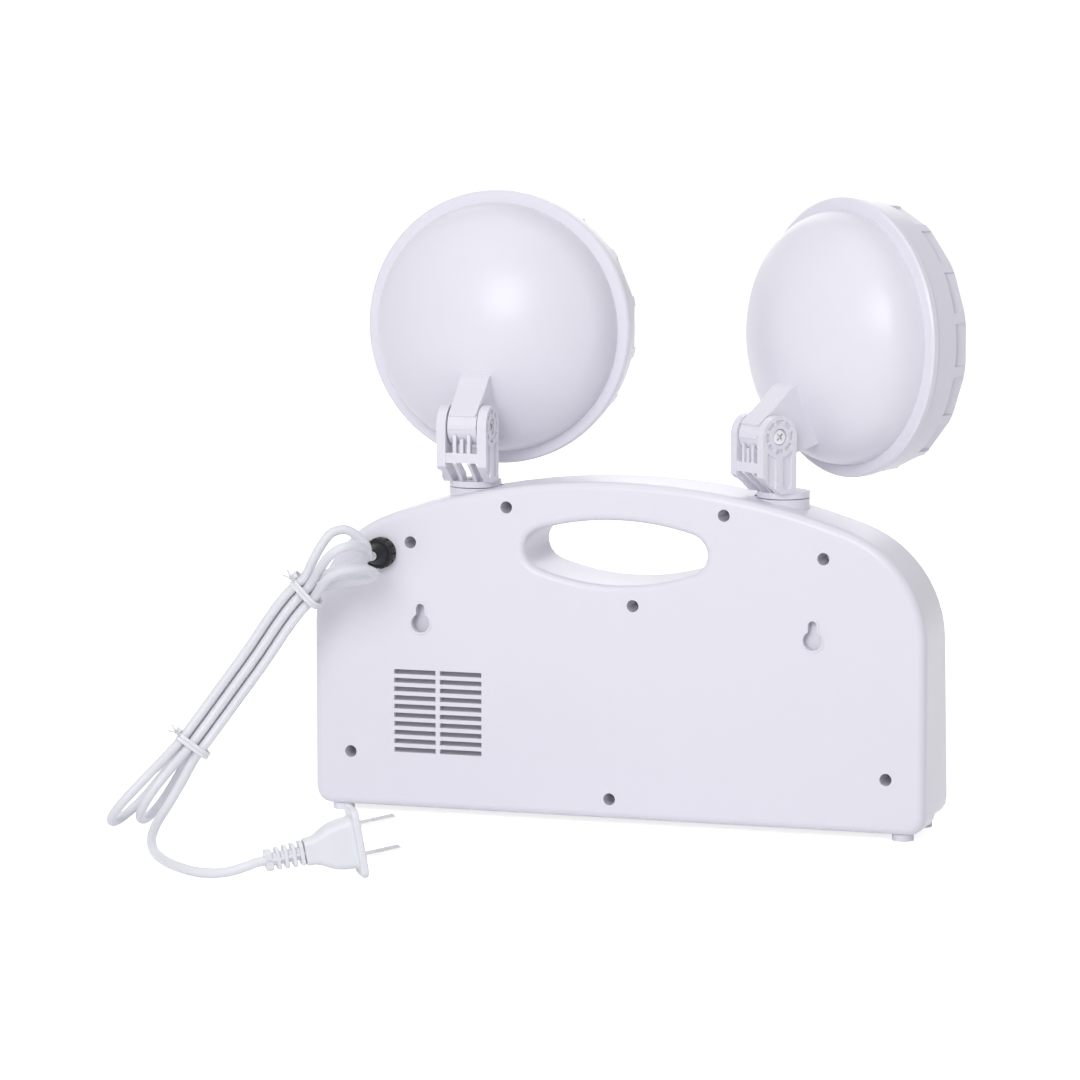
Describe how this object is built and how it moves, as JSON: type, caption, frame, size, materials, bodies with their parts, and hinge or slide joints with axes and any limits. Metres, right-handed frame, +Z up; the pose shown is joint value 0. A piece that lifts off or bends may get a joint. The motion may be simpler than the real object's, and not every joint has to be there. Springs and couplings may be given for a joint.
{
  "type": "twin head emergency light",
  "caption": "Twin head emergency light: an arched housing with a carry handle, a tied mains cord with a plug, and two round lamp heads that turn and tilt on brackets.",
  "frame": {"origin": "on the floor, midway between the four feet", "axes": "+Z up, +Y out of the rear face with the keyholes, +X to the right as seen from the front"},
  "size_m": [0.3414, 0.2515, 0.2614],
  "materials": {
    "shell_white": "glossy, slightly lavender white, moulded",
    "screw_steel": "zinc plated",
    "foot_rubber": "matt light grey",
    "gland_black": "moulded, slightly glossy",
    "battery_black": "moulded",
    "foam": "foam",
    "wire_plastic": "soft insulation",
    "board_green": "solder mask",
    "core_steel": "laminated",
    "winding": "enamelled winding",
    "capacitor_sleeve": "shrink sleeve",
    "relay_blue": "moulded",
    "block_green": "moulded",
    "button_red": "moulded",
    "indicator_green": "tinted, clear",
    "cord_white": "smooth, slightly glossy",
    "tie_clear": "coated wire",
    "blade_steel": "nickel plated",
    "washer_fibre": "fibre",
    "lens_clear": "clear",
    "gasket_black": "matt",
    "reflector_silver": "metallised",
    "led_board_white": "white coating",
    "led_yellow": "phosphor"
  },
  "bodies": {
    "housing": {"rear_shell": "shell_white", "front_shell": "shell_white", "shell_screws": "screw_steel", "rubber_feet": "foot_rubber", "cord_gland": "gland_black", "gland_nut": "gland_black", "battery_case": "battery_black", "battery_terminals": "blade_steel", "battery_pads": "foam", "battery_leads": "wire_plastic", "control_board": "board_green", "board_screws": "screw_steel", "transformer_core": "core_steel", "transformer_coil": "winding", "capacitors": "capacitor_sleeve", "relay": "relay_blue", "terminal_block": "block_green", "inner_mains_lead": "wire_plastic", "switch_board": "board_green", "switch_board_screws": "screw_steel", "test_switch": "gland_black", "indicator_lamps": "indicator_green", "cord_lead": "cord_white", "cord_hank": "cord_white", "cord_tail": "cord_white", "cord_ties": "tie_clear", "plug_body": "cord_white", "plug_blades": "blade_steel"},
    "test_button_body": {"test_button": "button_red"},
    "right_bracket": {"right_turret": "shell_white", "right_pan_washer": "washer_fibre", "right_tilt_screw": "screw_steel", "right_tilt_nut": "screw_steel", "right_tilt_washers": "screw_steel"},
    "right_head": {"right_lamp_shell": "shell_white", "right_lamp_bezel": "shell_white", "right_lamp_lens": "lens_clear", "right_lamp_gasket": "gasket_black", "right_reflector": "reflector_silver", "right_led_board": "led_board_white", "right_led_chips": "led_yellow"},
    "left_bracket": {"left_turret": "shell_white", "left_pan_washer": "washer_fibre", "left_tilt_screw": "screw_steel", "left_tilt_nut": "screw_steel", "left_tilt_washers": "screw_steel"},
    "left_head": {"left_lamp_shell": "shell_white", "left_lamp_bezel": "shell_white", "left_lamp_lens": "lens_clear", "left_lamp_gasket": "gasket_black", "left_reflector": "reflector_silver", "left_led_board": "led_board_white", "left_led_chips": "led_yellow"}
  },
  "joints": [
    {"name": "right_pan", "type": "hinge", "parent": "housing", "child": "right_bracket", "pos_m": [0.067, 0.004, 0.139], "axis": [0, 0, 1], "range_deg": [-10, 100]},
    {"name": "left_pan", "type": "hinge", "parent": "housing", "child": "left_bracket", "pos_m": [-0.067, 0.004, 0.139], "axis": [0, 0, 1], "range_deg": [-63, 47]},
    {"name": "right_tilt", "type": "hinge", "parent": "right_bracket", "child": "right_head", "pos_m": [0.067, 0.0145, 0.1652], "axis": [-1, 0, 0], "range_deg": [-15, 45]},
    {"name": "left_tilt", "type": "hinge", "parent": "left_bracket", "child": "left_head", "pos_m": [-0.06068, 0.01239, 0.1652], "axis": [-0.7986, 0.6018, 0], "range_deg": [-15, 45]},
    {"name": "test_press", "type": "slide", "parent": "housing", "child": "test_button_body", "axis": [0, 1, 0], "range_m": [0, 0.001], "stiffness_N_per_m": 300, "springref_m": -0.0005}
  ]
}
